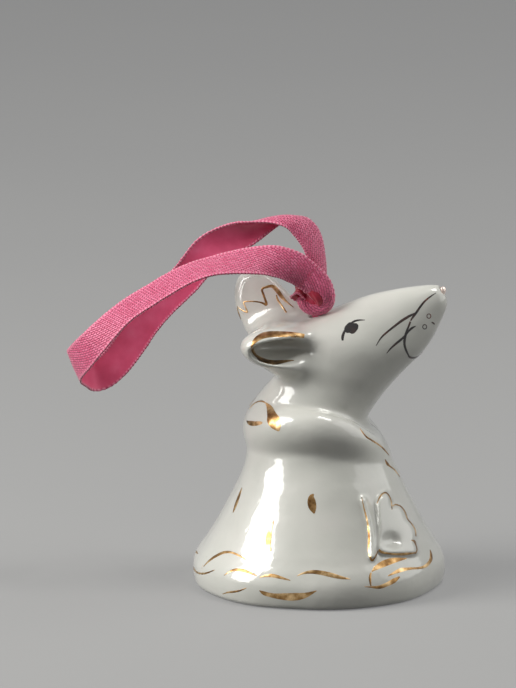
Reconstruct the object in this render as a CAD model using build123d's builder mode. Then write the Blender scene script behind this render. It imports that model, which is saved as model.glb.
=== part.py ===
"""A glazed porcelain bell in the form of a mouse that looks up, hung on a satin ribbon.

The mouse faces +X and +Z is up. The origin is the middle of the hem, on the surface it stands on.
Lengths are in millimetres. Tables of places are shares of the sizes that they follow.
"""

import os
from math import cos, radians, sin, tan

from build123d import *

os.makedirs("parts", exist_ok=True)

# Porcelain casting
hem_radius = 27.5
waist_height = 28.8
figure_height = 65.2
wall = 2.2
foot_width = 2.0
overrun = 4.0

# Arms, which lie round the body as one raised band a little above the waist
arm_radius = 12.4
arm_rise = 6.2
arm_depth = 3.4
arm_breadth = 4.4

# Ears, with the roots by which they grow out of the head
near_ear_length = 15.8
near_ear_depth = 11.6
near_ear_breadth = 8.8
near_scoop_length = 15.2
near_scoop_depth = 12.0
near_scoop_breadth = 5.6
near_root_radius = 3.0
far_ear_length = 14.4
far_ear_rise = 15.6
far_ear_thickness = 4.2
far_ear_round = 1.7
far_scoop_length = 9.0
far_scoop_depth = 3.6
far_scoop_breadth = 9.0
far_root_radius = 1.8

# Raised ornament on the skirt
relief_height = 0.9
relief_width = 13.4
relief_rise = 12.8
relief_angle = -39.0
fold_width = 2.4
fold_length = 13.0
fold_angle = -60.5
fold_tilt = -6.0

# Nose
nose_length = 2.4
nose_thickness = 1.6
nose_gap = 0.02
nose_lean = 20.0

# Ribbon
ribbon_width = 7.0
ribbon_thickness = 0.5
ribbon_lean = 30.0
knot_radius = 3.1
knot_length = 6.2
knot_round = 1.4
knot_gap = 0.3
crown_x = -0.3
bore_radius = 1.6
tail_radius = 1.1
tail_eye_radius = 1.7
tail_eye_thickness = 1.1

# Clapper
ring_radius = 1.5
ring_wire = 0.7
eye_radius = 1.3
shank_wire = 0.7
link_gap = 0.15
ball_radius = 3.4
ball_bore_gap = 0.05
ball_height = 9.0
stop_length = 1.2

# Outline of the skirt as shares of the hem's radius and the waist's height: foot, bulge of the
# hem, notch above it, flare, side, waist and shoulder
foot_radius_share = 0.967
bulge_height_share = 0.11
notch_radius_share, notch_height_share = 0.925, 0.302
flare_radius_share, flare_height_share = 0.888, 0.345
side_radius_share, side_height_share = 0.742, 0.60
waist_radius_share = 0.545
shoulder_radius_share, shoulder_height_share = 0.492, 1.065
top_radius_share, top_height_share = 0.40, 1.11

# Middle sections of torso, neck and head, from the waist to the snout: where the back and the
# front of each one lie, along and above the waist, and how far it reaches to each side
body_section_shares = [
    (-0.510, -0.120, 0.527, -0.120, 0.480),
    (-0.545, 0.002, 0.529, 0.002, 0.455),
    (-0.575, 0.121, 0.480, 0.094, 0.460),
    (-0.560, 0.214, 0.425, 0.181, 0.440),
    (-0.490, 0.319, 0.415, 0.233, 0.405),
    (-0.310, 0.490, 0.500, 0.348, 0.362),
    (-0.272, 0.610, 0.594, 0.430, 0.362),
    (-0.165, 0.767, 0.709, 0.525, 0.340),
    (0.075, 0.841, 0.811, 0.599, 0.287),
    (0.340, 0.919, 0.876, 0.665, 0.222),
    (0.818, 0.989, 0.963, 0.824, 0.098),
    (0.914, 0.996, 0.974, 0.921, 0.044),
]

# Arm band from the back round to the front: angle, then centre radius, rise, depth and breadth
arm_section_shares = [
    (-1.00, 1.030, 0.859, 0.95, 0.98),
    (-0.83, 1.020, 1.000, 0.98, 1.00),
    (-0.66, 1.010, 1.141, 1.00, 1.02),
    (-0.50, 1.000, 1.141, 1.00, 1.00),
    (-0.34, 0.990, 0.859, 0.98, 0.94),
    (-0.19, 0.985, 0.323, 0.94, 0.88),
    (-0.08, 0.980, -0.044, 0.86, 0.80),
    (0.00, 0.970, -0.129, 0.80, 0.74),
]

# Hollow of the torso and head: middle along the body, height above the waist and radius of each
# round section
hollow_section_shares = [
    (0.000, -0.048, 0.450),
    (-0.030, 0.104, 0.435),
    (-0.036, 0.221, 0.380),
    (0.010, 0.355, 0.290),
    (0.045, 0.516, 0.250),
    (0.045, 0.642, 0.215),
    (0.030, 0.731, 0.140),
]

# Heights above the waist of the ears, the nose, the crown under the ribbon's knot and the eye of
# the ribbon's tail
near_ear_share = 0.662
far_ear_share = 0.866
nose_share = 0.961
crown_share = 0.819
eye_share = 0.642

# Ribbon route, chosen by hand: out of the knot, along the near strand, round the end and back
ribbon_route = [
    (-0.8, -2.85, 66.15),
    (-2.3, -3.1, 67.6),
    (-4.8, -3.6, 69.7),
    (-8.3, -4.2, 71.2),
    (-12.6, -4.8, 71.8),
    (-22.3, -6.0, 71.0),
    (-33.0, -7.2, 68.1),
    (-37.9, -7.8, 64.7),
    (-42.7, -8.4, 60.3),
    (-47.0, -8.6, 55.7),
    (-50.4, -6.6, 51.5),
    (-51.7, -1.2, 48.0),
    (-50.4, 4.2, 45.7),
    (-47.2, 7.4, 44.6),
    (-44.0, 8.0, 46.4),
    (-41.0, 7.8, 50.2),
    (-37.1, 7.2, 56.5),
    (-32.4, 6.6, 61.7),
    (-27.4, 6.0, 65.8),
    (-22.5, 5.4, 70.7),
    (-16.9, 4.8, 74.6),
    (-11.9, 4.2, 77.4),
    (-7.2, 3.6, 78.4),
    (-3.8, 3.0, 77.4),
    (-1.4, 2.5, 74.6),
    (-0.3, 2.0, 71.2),
    (0.6, 1.7, 68.2),
    (0.9, 1.5, 65.5),
]


def above_waist(share):
    """A height that lies at a share of the way from the waist up to the top of the head."""
    return waist_height + (figure_height - waist_height) * share


def on_skirt(angle):
    """The upright plane through the bell's axis line that faces outward at an angle about it."""
    outward = Vector(cos(radians(angle)), sin(radians(angle)), 0)
    across = Vector(-sin(radians(angle)), cos(radians(angle)), 0)
    return Plane(origin=(0, 0, 0), x_dir=across, z_dir=outward)


def skirt_outline(grown):
    """Half of the skirt's outer outline, from the axis to the foot and up to the shoulder."""
    rim = (hem_radius * foot_radius_share + grown, 0)
    bulge = (hem_radius + grown, waist_height * bulge_height_share)
    notch = (hem_radius * notch_radius_share + grown, waist_height * notch_height_share)
    flare = (hem_radius * flare_radius_share + grown, waist_height * flare_height_share)
    side = (hem_radius * side_radius_share + grown, waist_height * side_height_share)
    waist = (hem_radius * waist_radius_share + grown, waist_height)
    shoulder = (
        hem_radius * shoulder_radius_share + grown,
        waist_height * shoulder_height_share,
    )
    top = (hem_radius * top_radius_share, waist_height * top_height_share)
    Line((0, 0), rim)
    ThreePointArc(rim, bulge, notch)
    Line(notch, flare)
    ThreePointArc(flare, side, waist)
    ThreePointArc(waist, shoulder, top)
    Line(top, (0, waist_height * top_height_share))
    Line((0, waist_height * top_height_share), (0, 0))


# Skirt with its rounded hem
with BuildPart() as skirt:
    with BuildSketch(Plane.XZ):
        with BuildLine():
            skirt_outline(0)
        make_face()
    revolve(axis=Axis.Z)

# Raised lobed ornament, cut from a skirt that is grown by the height of the relief
with BuildPart() as ornament:
    with BuildSketch(Plane.XZ):
        with BuildLine():
            skirt_outline(relief_height)
        make_face()
    revolve(axis=Axis.Z)
    with BuildSketch(on_skirt(relief_angle)):
        lobe_shares = [
            (-0.04, 1.56, 0.16),
            (0.20, 1.35, 0.18),
            (0.29, 1.07, 0.20),
            (0.12, 0.90, 0.17),
        ]
        for along_share, up_share, radius_share in lobe_shares:
            with Locations((relief_width * along_share, relief_rise * up_share)):
                Circle(relief_width * radius_share)
        with BuildLine():
            Polyline(
                (relief_width * -0.54, relief_rise * 0.87),
                (relief_width * 0.16, relief_rise * 0.72),
                (relief_width * 0.30, relief_rise * 1.10),
                (relief_width * 0.02, relief_rise * 1.62),
                (relief_width * -0.20, relief_rise * 1.52),
                close=True,
            )
        make_face()
    extrude(amount=hem_radius + overrun, mode=Mode.INTERSECT)

# Upright fold beside the ornament
with BuildPart() as fold:
    with BuildSketch(Plane.XZ):
        with BuildLine():
            skirt_outline(relief_height)
        make_face()
    revolve(axis=Axis.Z)
    with BuildSketch(on_skirt(fold_angle)):
        with Locations((0, waist_height * 0.55)):
            SlotOverall(fold_length, fold_width, rotation=90 + fold_tilt)
    extrude(amount=hem_radius + overrun, mode=Mode.INTERSECT)

# Torso, neck and head as one form that bends forward to the snout
with BuildPart() as trunk:
    for back, back_up, front, front_up, side in body_section_shares:
        back_point = Vector(hem_radius * back, 0, above_waist(back_up))
        front_point = Vector(hem_radius * front, 0, above_waist(front_up))
        across = front_point - back_point
        long_radius = across.length / 2
        wide_radius = hem_radius * side
        section_plane = Plane(
            origin=(front_point + back_point) * 0.5,
            x_dir=across,
            z_dir=Vector(0, -1, 0).cross(across),
        )
        with BuildSketch(section_plane):
            with BuildLine():
                rim = [
                    (long_radius * cos(radians(turn)), wide_radius * sin(radians(turn)))
                    for turn in range(0, 360, 45)
                ]
                Spline(*rim, periodic=True)
            make_face()
    loft()

# One arm, from the back round the side to the hand in front
with BuildPart() as arm:
    for angle, radius, rise, depth, breadth in arm_section_shares:
        turn = radians(180 * angle)
        outward = Vector(cos(turn), sin(turn), 0)
        middle = outward * (arm_radius * radius) + Vector(0, 0, waist_height + arm_rise * rise)
        facing = Plane(origin=middle, x_dir=outward, z_dir=outward.cross(Vector(0, 0, 1)))
        with BuildSketch(facing):
            Ellipse(arm_depth * depth, arm_breadth * breadth)
    loft()

# Near ear, a shallow cup that lies against the side of the head
with BuildPart() as near_scoop:
    Sphere(1, rotation=(90, 0, 0))
    scale(by=(near_scoop_length / 2, near_scoop_depth / 2, near_scoop_breadth / 2))

with BuildPart() as near_ear:
    Sphere(1, rotation=(90, 0, 0))
    scale(by=(near_ear_length / 2, near_ear_depth / 2, near_ear_breadth / 2))
    with Locations((near_ear_length * 0.13, -near_ear_depth / 2, near_ear_breadth * 0.03)):
        add(near_scoop.part, rotation=(0, -3, 0), mode=Mode.SUBTRACT)

# Far ear, an upright leaf with a straight front rim, whose root lies inside the head
with BuildPart() as far_ear:
    with BuildSketch(Plane.XZ):
        with BuildLine():
            root_front = (far_ear_length * 0.86, far_ear_rise * -0.42)
            rim_foot = (far_ear_length * 0.56, far_ear_rise * -0.12)
            rim_top = (far_ear_length * -0.03, far_ear_rise * 0.42)
            crest = (far_ear_length * -0.27, far_ear_rise * 0.50)
            back_top = (far_ear_length * -0.49, far_ear_rise * 0.22)
            back_side = (far_ear_length * -0.47, far_ear_rise * -0.12)
            back_foot = (far_ear_length * -0.28, far_ear_rise * -0.44)
            root_back = (far_ear_length * 0.36, far_ear_rise * -0.72)
            Polyline(root_back, root_front, rim_foot, rim_top)
            ThreePointArc(rim_top, crest, back_top)
            ThreePointArc(back_top, back_side, back_foot)
            Line(back_foot, root_back)
        make_face()
    extrude(amount=far_ear_thickness / 2, both=True)
    fillet(far_ear.edges(), radius=far_ear_round)

with BuildPart() as far_scoop:
    Sphere(1, rotation=(90, 0, 0))
    scale(by=(far_scoop_length / 2, far_scoop_depth / 2, far_scoop_breadth / 2))

with BuildPart() as far_cup:
    add(far_ear.part)
    with Locations((far_ear_length * -0.10, far_ear_thickness / 2, far_ear_rise * 0.04)):
        add(far_scoop.part, mode=Mode.SUBTRACT)

# Hollow of the bell, which follows the outside a wall's thickness in
with BuildPart() as hollow:
    with BuildSketch(Plane.XZ):
        with BuildLine():
            foot_inner = hem_radius * foot_radius_share - foot_width
            ceiling = waist_height - wall / 2
            inner_points = [
                (foot_inner, 0),
                (hem_radius * notch_radius_share - wall, waist_height * notch_height_share - wall / 2),
                (hem_radius * side_radius_share - wall, waist_height * side_height_share - wall / 2),
                (hem_radius * waist_radius_share - wall, ceiling),
            ]
            Line((0, -overrun), (foot_inner, -overrun))
            Line((foot_inner, -overrun), inner_points[0])
            Spline(*inner_points)
            Line(inner_points[-1], (0, ceiling))
            Line((0, ceiling), (0, -overrun))
        make_face()
    revolve(axis=Axis.Z)

with BuildPart() as upper_hollow:
    for along, up, radius in hollow_section_shares:
        with BuildSketch(Plane((hem_radius * along, 0, above_waist(up)))):
            Circle(hem_radius * radius)
    loft()

# Places of the ears, set from the head's widest section, and the roots that tie them to it
head_back, head_back_up, head_front, head_front_up, head_side = body_section_shares[7]
head_middle = Vector(
    hem_radius * (head_back + head_front) / 2,
    0,
    above_waist((head_back_up + head_front_up) / 2),
)
near_ear_place = Vector(
    hem_radius * head_back - near_ear_length * 0.257,
    near_ear_depth * 0.065 - hem_radius * head_side,
    above_waist(near_ear_share),
)
far_ear_place = Vector(
    hem_radius * head_back - far_ear_length * 0.439,
    hem_radius * head_side - far_ear_thickness * 0.557,
    above_waist(far_ear_share),
)
near_root_start = near_ear_place + Vector(0, near_ear_depth * 0.35, 0)
far_root_start = far_ear_place + Vector(far_ear_length * 0.30, 0, far_ear_rise * -0.38)
with BuildPart() as near_root:
    with BuildSketch(Plane(origin=near_root_start, z_dir=head_middle - near_root_start)):
        Circle(near_root_radius)
    extrude(amount=(head_middle - near_root_start).length)
with BuildPart() as far_root:
    with BuildSketch(Plane(origin=far_root_start, z_dir=head_middle - far_root_start)):
        Circle(far_root_radius)
    extrude(amount=(head_middle - far_root_start).length)

# The whole casting
nose_point = Vector(hem_radius * 0.963, 0, above_waist(nose_share))
crown_low = above_waist(eye_share)
with BuildPart() as nose_seat:
    Sphere(1)
    scale(
        by=(
            nose_thickness / 2 + nose_gap,
            nose_thickness / 2 + nose_gap,
            nose_length / 2 + nose_gap,
        )
    )
with BuildPart() as bell_body:
    add(skirt.part)
    add(trunk.part)
    add(arm.part)
    add(mirror(arm.part, about=Plane.XZ, mode=Mode.PRIVATE))
    add(ornament.part)
    add(fold.part)
    add(near_root.part)
    add(far_root.part)
    with Locations(near_ear_place):
        add(near_ear.part, rotation=(0, 9, 0))
    with Locations(far_ear_place):
        add(far_cup.part, rotation=(-8, 0, 0))
    with Locations(nose_point):
        add(nose_seat.part, rotation=(0, nose_lean, 0), mode=Mode.SUBTRACT)
    add(hollow.part, mode=Mode.SUBTRACT)
    add(upper_hollow.part, mode=Mode.SUBTRACT)
    with BuildSketch(Plane.XY.offset(crown_low)):
        with Locations((crown_x, 0)):
            Circle(bore_radius)
    extrude(amount=figure_height - crown_low, mode=Mode.SUBTRACT)
bell_body.part.label = "bell_body"
export_step(bell_body.part, "parts/bell_body.step")

# Nose, a small lustred bead on the tip of the snout
with BuildPart() as nose:
    Sphere(1)
    scale(by=(nose_thickness / 2, nose_thickness / 2, nose_length / 2))
with BuildPart() as nose_bead:
    with Locations(nose_point):
        add(nose.part, rotation=(0, nose_lean, 0))
nose_bead.part.label = "nose_bead"
export_step(nose_bead.part, "parts/nose_bead.step")

# Knot of the ribbon, a short rounded barrel that lies across the crown
crown_height = above_waist(crown_share)
knot_height = crown_height + knot_gap + knot_radius
with BuildPart() as ribbon_knot:
    with BuildSketch(Plane.XZ.offset(-knot_length / 2)):
        with Locations((crown_x, knot_height)):
            Circle(knot_radius)
    extrude(amount=knot_length)
    fillet(ribbon_knot.edges().filter_by(GeomType.CIRCLE), radius=knot_round)
ribbon_knot.part.label = "ribbon_knot"
export_step(ribbon_knot.part, "parts/ribbon_knot.step")

# Tail of the ribbon, doubled and rolled, that goes down through the crown to a small eye
eye_height = above_waist(eye_share)
eye_centre = Vector(crown_x, 0, eye_height)
with BuildPart() as ribbon_tail:
    with BuildSketch(Plane.XY.offset(eye_height + tail_eye_radius)):
        with Locations((crown_x, 0)):
            Circle(tail_radius)
    extrude(amount=crown_height - eye_height - tail_eye_radius)
    with Locations(Location(eye_centre, (0, 90, 0))):
        Torus(tail_eye_radius, tail_eye_thickness / 2)
ribbon_tail.part.label = "ribbon_tail"
export_step(ribbon_tail.part, "parts/ribbon_tail.step")

# Ring that links the clapper to the ribbon's eye
eye_low = eye_height - tail_eye_radius
ring_height = eye_low + tail_eye_thickness / 2 + link_gap - (ring_radius - ring_wire / 2)
with BuildPart() as clapper_ring:
    with Locations(Location((crown_x, 0, ring_height), (90, 0, 0))):
        Torus(ring_radius, ring_wire / 2)
clapper_ring.part.label = "clapper_ring"
export_step(clapper_ring.part, "parts/clapper_ring.step")

# Wire of the clapper: an eye on the ring, a straight shank and a stop below the ball
ring_low = ring_height - ring_radius
wire_eye_height = ring_low + ring_wire / 2 + link_gap - (eye_radius - shank_wire / 2)
shank_top = wire_eye_height - eye_radius
shank_low = ball_height - ball_radius - stop_length
with BuildPart() as clapper_wire:
    with Locations(Location((crown_x, 0, wire_eye_height), (0, 90, 0))):
        Torus(eye_radius, shank_wire / 2)
    with BuildSketch(Plane.XY.offset(shank_top)):
        with Locations((crown_x, 0)):
            Circle(shank_wire / 2)
    extrude(amount=shank_low - shank_top)
    with Locations((crown_x, 0, shank_low)):
        Sphere(shank_wire)
clapper_wire.part.label = "clapper_wire"
export_step(clapper_wire.part, "parts/clapper_wire.step")

# Ball of the clapper, bored for the wire
with BuildPart() as clapper_ball:
    with Locations((crown_x, 0, ball_height)):
        Sphere(ball_radius)
    with BuildSketch(Plane.XY.offset(ball_height - ball_radius)):
        with Locations((crown_x, 0)):
            Circle(shank_wire / 2 + ball_bore_gap)
    extrude(amount=2 * ball_radius, mode=Mode.SUBTRACT)
clapper_ball.part.label = "clapper_ball"
export_step(clapper_ball.part, "parts/clapper_ball.step")

# Ribbon loop, a flat band along straight runs that are joined by tangent arcs
route = [Vector(*point) for point in ribbon_route]
runs = [after - before for before, after in zip(route, route[1:])]
radii = []
for before, after in zip(runs, runs[1:]):
    half_turn = radians(before.get_angle(after)) / 2
    radii.append(0.45 * min(before.length, after.length) / tan(half_turn))
print("turns of the ribbon", [round(a.get_angle(b), 1) for a, b in zip(runs, runs[1:])])
print("radii of the ribbon", [round(radius, 1) for radius in radii])

with BuildPart() as ribbon_loop:
    with BuildLine() as ribbon_path:
        FilletPolyline(*route, radius=radii)
    width_direction = runs[0].cross(Vector(0, 1, 0)).rotate(Axis((0, 0, 0), runs[0]), ribbon_lean)
    with BuildSketch(Plane(origin=route[0], x_dir=width_direction, z_dir=runs[0])):
        Rectangle(ribbon_width, ribbon_thickness)
    sweep(path=ribbon_path.wires()[0])
ribbon_length = ribbon_path.wires()[0].length
ribbon_loop.part.label = "ribbon_loop"
export_step(ribbon_loop.part, "parts/ribbon_loop.step")
print("length of the ribbon loop", round(ribbon_length, 1))
print("volume over section times length",
      round(ribbon_loop.part.volume / (ribbon_length * ribbon_width * ribbon_thickness), 3))
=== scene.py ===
"""Looks of a glazed porcelain mouse bell on a satin ribbon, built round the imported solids.

The mouse faces +X and the camera looks along +Y. Forms and places are worked out in millimetres
and become metres when a mesh is made. Places on the glaze are given as pixels of the photograph,
and a ray from the camera carries each one onto the porcelain.
"""

from math import cos, pi, radians, sin

import bpy
import numpy as np
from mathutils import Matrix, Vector
from mathutils.bvhtree import BVHTree


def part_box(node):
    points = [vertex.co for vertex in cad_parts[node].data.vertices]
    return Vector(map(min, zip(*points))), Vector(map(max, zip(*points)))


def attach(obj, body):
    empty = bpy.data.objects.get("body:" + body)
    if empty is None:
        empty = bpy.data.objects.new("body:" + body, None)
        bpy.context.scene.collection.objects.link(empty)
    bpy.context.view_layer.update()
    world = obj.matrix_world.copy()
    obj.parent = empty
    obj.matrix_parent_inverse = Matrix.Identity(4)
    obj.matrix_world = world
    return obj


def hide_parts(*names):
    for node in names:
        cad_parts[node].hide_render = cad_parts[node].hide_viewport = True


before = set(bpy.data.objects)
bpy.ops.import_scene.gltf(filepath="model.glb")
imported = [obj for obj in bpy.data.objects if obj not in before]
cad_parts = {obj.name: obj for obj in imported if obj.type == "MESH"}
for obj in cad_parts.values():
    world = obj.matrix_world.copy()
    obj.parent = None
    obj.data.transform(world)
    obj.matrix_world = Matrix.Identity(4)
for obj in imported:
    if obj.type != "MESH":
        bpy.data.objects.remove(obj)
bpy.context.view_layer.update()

MM = 0.001

# How the photograph was taken
photo_width, photo_height = 516, 688
pixel = 0.215
view_rise = radians(12)
axis_pixel = (318.5, 582.0)
camera_distance = 1200.0
sensor_size = 36.0

view_right = np.array((1.0, 0.0, 0.0))
view_up = np.array((0.0, sin(view_rise), cos(view_rise)))
view_back = np.array((0.0, -cos(view_rise), sin(view_rise)))
target = np.array((
    (photo_width / 2 - axis_pixel[0]) * pixel,
    0.0,
    (axis_pixel[1] - photo_height / 2) * pixel / cos(view_rise),
))
camera_place = target + view_back * camera_distance


def new_in_scene(name, data):
    """An object that holds the data, in the scene."""
    made = bpy.data.objects.new(name, data)
    bpy.context.scene.collection.objects.link(made)
    return made


def make_camera():
    """A long lens at the photograph's height and distance."""
    data = bpy.data.cameras.new("camera")
    data.sensor_width = sensor_size
    data.lens = sensor_size * camera_distance / (photo_height * pixel)
    data.clip_start, data.clip_end = 0.01, 100
    camera = new_in_scene("camera", data)
    camera.location = Vector(camera_place) * MM
    camera.rotation_euler = (pi / 2 - view_rise, 0, 0)
    bpy.context.scene.camera = camera


def to_pixels(points):
    """Pixels of the photograph at which points in millimetres are seen."""
    away = points - camera_place
    depth = -(away @ view_back)
    scale = camera_distance / depth / pixel
    return np.stack((
        photo_width / 2 + (away @ view_right) * scale,
        photo_height / 2 - (away @ view_up) * scale,
    ), axis=1)


def ray_of(px, py):
    """Direction from the camera through a pixel."""
    right = (px - photo_width / 2) * pixel
    up = (photo_height / 2 - py) * pixel
    direction = view_right * right + view_up * up - view_back * camera_distance
    return direction / np.linalg.norm(direction)


make_camera()


def new_object(name, vertices, faces, body):
    """A mesh object from points in millimetres that rides on a body."""
    mesh = bpy.data.meshes.new(name)
    mesh.from_pydata((np.asarray(vertices) * MM).tolist(), [], [list(map(int, f)) for f in faces])
    mesh.validate()
    mesh.polygons.foreach_set("use_smooth", [True] * len(mesh.polygons))
    made = new_in_scene(name, mesh)
    if body:
        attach(made, body)
    return made


def rounded_line(points, steps):
    """A smooth line through rows of numbers, with a number of steps between each two rows."""
    rows = np.asarray(points, float)
    before = np.vstack((rows[:1] * 2 - rows[1:2], rows[:-1]))
    after = np.vstack((rows[1:], rows[-1:] * 2 - rows[-2:-1]))
    slopes = (after - before) / 2
    line = []
    for first, last, leave, arrive in zip(rows, rows[1:], slopes, slopes[1:]):
        for t in np.arange(steps) / steps:
            line.append(
                first * (2 * t**3 - 3 * t**2 + 1)
                + leave * (t**3 - 2 * t**2 + t)
                + last * (3 * t**2 - 2 * t**3)
                + arrive * (t**3 - t**2)
            )
    line.append(rows[-1])
    return np.array(line)


def closed_line(corners, steps):
    """A smooth line round an outline, back to where it starts."""
    return rounded_line(corners + corners[:1], steps)


def smoothed(rows, times):
    """Rows of numbers, each drawn towards its neighbours a number of times."""
    for _ in range(times):
        rows[1:-1] = (rows[:-2] + rows[1:-1] * 2 + rows[2:]) / 4
    return rows


def rows_at(places, marks, rows):
    """Rows of numbers that stand at marks, read off at other places."""
    return np.stack([np.interp(places, marks, column) for column in np.transpose(rows)], 1)


# Ribbon

ribbon_width = 7.0
ribbon_thickness = 0.32
ribbon_step = 0.35  # between the rows of the loop's mesh
knot_step = 0.16  # and of the knot's bands
band_columns = 29
selvedge_columns = 2  # at each edge
serration_period = 7.2  # per millimetre of ribbon, as an angle in radians

# The same route as the solid's, in metres, then the way across the ribbon at each point as
# shares (right, up and towards the camera in the photograph), the share of the full width that
# is left where it bunches up, and how far it curls across, in degrees
ribbon_route = [
    (-0.0008, -0.00285, 0.06615, -0.70, -0.60, -0.30, 0.86, 60),
    (-0.0023, -0.0031, 0.0676, -0.62, -0.68, -0.20, 0.92, 44),
    (-0.0048, -0.0036, 0.0697, -0.50, -0.80, 0.00, 0.97, 32),
    (-0.0083, -0.0042, 0.0712, -0.28, -0.88, 0.20, 1.00, 24),
    (-0.0126, -0.0048, 0.0718, -0.10, -0.80, 0.50, 1.00, 18),
    (-0.0223, -0.0060, 0.0710, -0.02, -0.56, 0.80, 1.00, 12),
    (-0.0330, -0.0072, 0.0681, 0.22, -0.58, 0.76, 1.00, 10),
    (-0.0379, -0.0078, 0.0647, 0.28, -0.54, 0.74, 1.00, 10),
    (-0.0427, -0.0084, 0.0603, 0.38, -0.52, 0.72, 1.00, 10),
    (-0.0470, -0.0086, 0.0557, 0.46, -0.66, 0.56, 1.00, 10),
    (-0.0504, -0.0066, 0.0515, 0.46, -0.78, 0.36, 1.00, 10),
    (-0.0517, -0.0012, 0.0480, 0.40, -0.88, 0.20, 1.00, 12),
    (-0.0504, 0.0042, 0.0457, 0.34, -0.93, -0.05, 1.00, 14),
    (-0.0472, 0.0074, 0.0446, 0.34, -0.93, -0.15, 1.00, 14),
    (-0.0440, 0.0080, 0.0464, 0.52, -0.84, -0.15, 1.00, 12),
    (-0.0410, 0.0078, 0.0502, 0.72, -0.66, -0.15, 1.00, 10),
    (-0.0371, 0.0072, 0.0565, 0.80, -0.58, -0.10, 1.00, 10),
    (-0.0324, 0.0066, 0.0617, 0.68, -0.72, -0.10, 1.00, 14),
    (-0.0274, 0.0060, 0.0658, 0.60, -0.80, -0.10, 1.00, 24),
    (-0.0225, 0.0054, 0.0707, 0.50, -0.85, -0.05, 1.00, 20),
    (-0.0169, 0.0048, 0.0746, 0.35, -0.88, -0.30, 1.00, 50),
    (-0.0119, 0.0042, 0.0774, 0.10, -0.50, -0.88, 1.00, 140),
    (-0.0072, 0.0036, 0.0784, 0.00, 0.30, -0.95, 1.00, 130),
    (-0.0038, 0.0030, 0.0774, 0.30, 0.75, -0.50, 0.97, 70),
    (-0.0014, 0.0025, 0.0746, 0.62, 0.52, -0.50, 0.90, 60),
    (-0.0003, 0.0020, 0.0712, 0.70, 0.30, -0.60, 0.80, 80),
    (0.0006, 0.0017, 0.0682, 0.72, 0.18, -0.66, 0.66, 110),
    (0.0009, 0.0015, 0.0655, 0.66, 0.12, -0.74, 0.55, 130),
]

# Where the ribbon sags or bows away from its route: place, shift and reach along it, in mm
ribbon_sags = [
    ((-51.0, -1.0, 48.0), (-1.2, 0.0, -0.4), 5.0),
    ((-45.5, 7.8, 45.5), (-0.9, 0.0, -1.2), 6.0),
    ((-7.2, 3.6, 78.2), (0.2, 0.0, 0.7), 7.0),
    ((-22.5, 5.4, 70.7), (-1.0, 0.0, 1.3), 7.0),
    ((-35.0, -7.4, 67.0), (0.8, 0.0, -1.0), 7.0),
]

# The wrap that closes the knot, and the bight that stands out behind it, in the same way
wrap_route = [
    (-0.0022, -0.0033, 0.0677, 0.66, 0.70, 0.15, 0.93, 44),
    (-0.0006, -0.0034, 0.0664, 0.72, 0.64, 0.12, 0.86, 64),
    (0.0007, -0.0034, 0.0650, 0.85, 0.45, 0.10, 0.78, 100),
    (0.0015, -0.0032, 0.0635, 0.98, 0.10, 0.05, 0.70, 150),
    (0.0016, -0.0028, 0.0620, 0.92, -0.38, 0.05, 0.66, 180),
    (0.0009, -0.0024, 0.0609, 0.55, -0.83, 0.05, 0.62, 195),
    (-0.0005, -0.0021, 0.0604, 0.00, -1.00, 0.05, 0.58, 195),
    (-0.0020, -0.0018, 0.0606, -0.45, -0.88, 0.05, 0.54, 190),
    (-0.0031, -0.0010, 0.0614, -0.80, -0.60, 0.05, 0.50, 180),
    (-0.0034, 0.0006, 0.0623, -0.95, -0.20, 0.20, 0.50, 170),
]
bight_route = [
    (-0.0016, -0.0010, 0.0632, 0.50, 0.80, 0.30, 0.46, 60),
    (-0.0034, -0.0014, 0.0650, 0.70, 0.70, 0.10, 0.52, 90),
    (-0.0049, -0.0006, 0.0652, 0.30, 0.95, 0.10, 0.56, 110),
    (-0.0050, 0.0012, 0.0636, -0.10, 0.95, 0.30, 0.56, 110),
    (-0.0036, 0.0020, 0.0624, 0.10, 0.90, 0.40, 0.52, 90),
    (-0.0016, 0.0016, 0.0618, 0.20, 0.90, 0.40, 0.46, 60),
]
knot_middle = (-0.4, 0.2, 62.4)
knot_radii = (2.7, 2.5, 2.9)
knot_folds = 14
tuck_route = [
    (-0.0022, -0.0024, 0.0654, 0.60, -0.75, 0.20, 0.50, 120),
    (-0.0010, -0.0034, 0.0640, 0.80, 0.10, 0.60, 0.46, 150),
    (0.0000, -0.0034, 0.0626, 0.90, 0.30, 0.30, 0.42, 150),
    (0.0004, -0.0022, 0.0612, 0.90, 0.00, 0.30, 0.36, 150),
]


def spline_points(route):
    """Points read from a NURBS curve whose control points are the route's."""
    data = bpy.data.curves.new("ribbon_line", "CURVE")
    data.dimensions = "3D"
    data.resolution_u = 12
    spline = data.splines.new("NURBS")
    spline.points.add(len(route) - 1)
    for point, place in zip(spline.points, route):
        point.co = (*place[:3], 1)
    spline.order_u = 3
    spline.use_endpoint_u = True
    line = bpy.data.objects.new("ribbon_line", data)
    mesh = bpy.data.meshes.new_from_object(line)
    points = np.array([v.co for v in mesh.vertices])
    bpy.data.objects.remove(line)
    bpy.data.meshes.remove(mesh)
    return points


def lengths_along(points):
    """Length of a line up to each of its points."""
    return np.concatenate(([0], np.cumsum(np.linalg.norm(np.diff(points, axis=0), axis=1))))


def evenly(points, gap):
    """The line's points a fixed gap apart, with the share of the length that each one is at."""
    along = lengths_along(points)
    count = int(along[-1] / gap) + 1
    places = np.linspace(0, along[-1], count)
    return rows_at(places, along, points), places


def unit(rows):
    """Rows of vectors, each brought to length one."""
    rows = np.asarray(rows, float)
    return rows / np.maximum(np.linalg.norm(rows, axis=-1, keepdims=True), 1e-12)


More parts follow.
